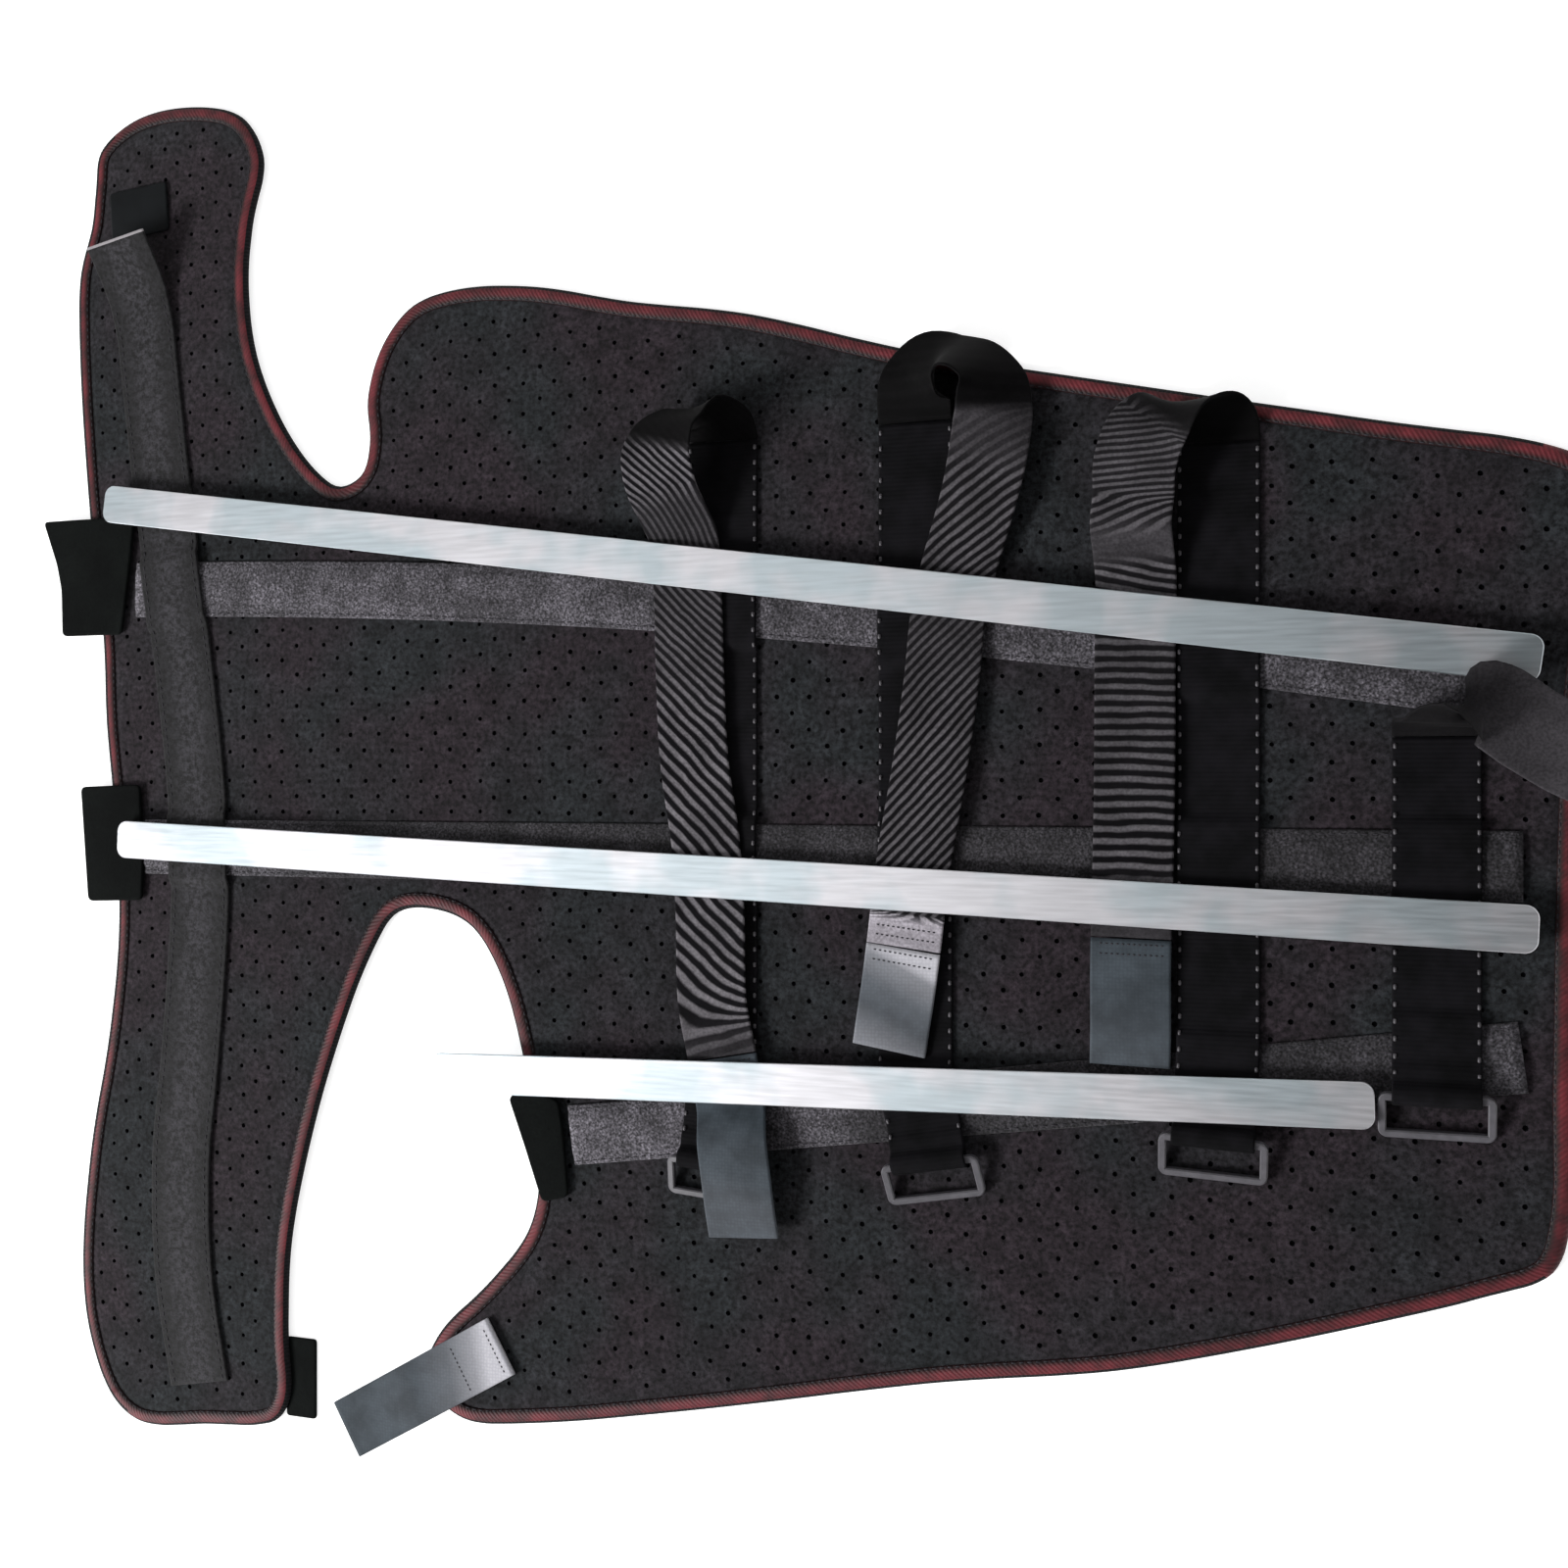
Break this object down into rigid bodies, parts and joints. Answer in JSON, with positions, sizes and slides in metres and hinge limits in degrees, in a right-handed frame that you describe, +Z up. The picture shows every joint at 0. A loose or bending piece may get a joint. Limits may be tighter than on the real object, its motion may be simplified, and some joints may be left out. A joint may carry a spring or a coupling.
{
  "type": "thigh compression wrap",
  "caption": "Perforated neoprene thigh compression wrap laid open and flat, with a hip band, bound edges, stay sleeves, loose metal stays and looped webbing straps with rings.",
  "frame": {"origin": "middle of the bounding box at the level of the surface that the wrap lies on", "axes": "+X from the hip band to the far edge of the thigh panel and the free strap end, +Y along the hip band towards its tip and the tops of the straps, +Z up from the outer face to the inner face"},
  "size_m": [0.8208, 0.6478, 0.0414],
  "materials": {
    "neoprene": "perforated neoprene with a knit face, matt",
    "binding_tape": "folded woven binding tape, slight sheen",
    "knit_tape": "brushed knit loop tape, mottled",
    "webbing": "woven polyester webbing with cross ribs",
    "hook_tape": "moulded hook tape, smooth, dull sheen",
    "flap_cloth": "plain black cloth, matt",
    "aluminium": "rolled and tumbled, satin",
    "ring_plastic": "moulded, fine texture"
  },
  "bodies": {
    "root": {"wrap_panel": "neoprene", "edge_binding": "binding_tape", "stay_pocket_upper": "knit_tape", "stay_pocket_middle": "knit_tape", "stay_pocket_lower": "knit_tape", "pocket_flap_upper": "flap_cloth", "pocket_flap_middle": "flap_cloth", "pocket_flap_lower": "flap_cloth", "stay_upper": "aluminium", "stay_middle": "aluminium", "stay_lower": "aluminium", "band_strip": "knit_tape", "band_hook_pad": "hook_tape", "band_hook_tab": "flap_cloth", "strap_base_1": "webbing", "ring_1": "ring_plastic", "strap_1": "webbing", "strap_tail_1": "hook_tape", "strap_base_2": "webbing", "ring_2": "ring_plastic", "strap_2": "webbing", "strap_tail_2": "hook_tape", "strap_base_3": "webbing", "ring_3": "ring_plastic", "strap_3": "webbing", "strap_tail_3": "hook_tape", "strap_base_4": "webbing", "ring_4": "ring_plastic", "strap_4": "webbing", "strap_tail_4": "hook_tape", "corner_tab": "hook_tape"}
  },
  "joints": []
}
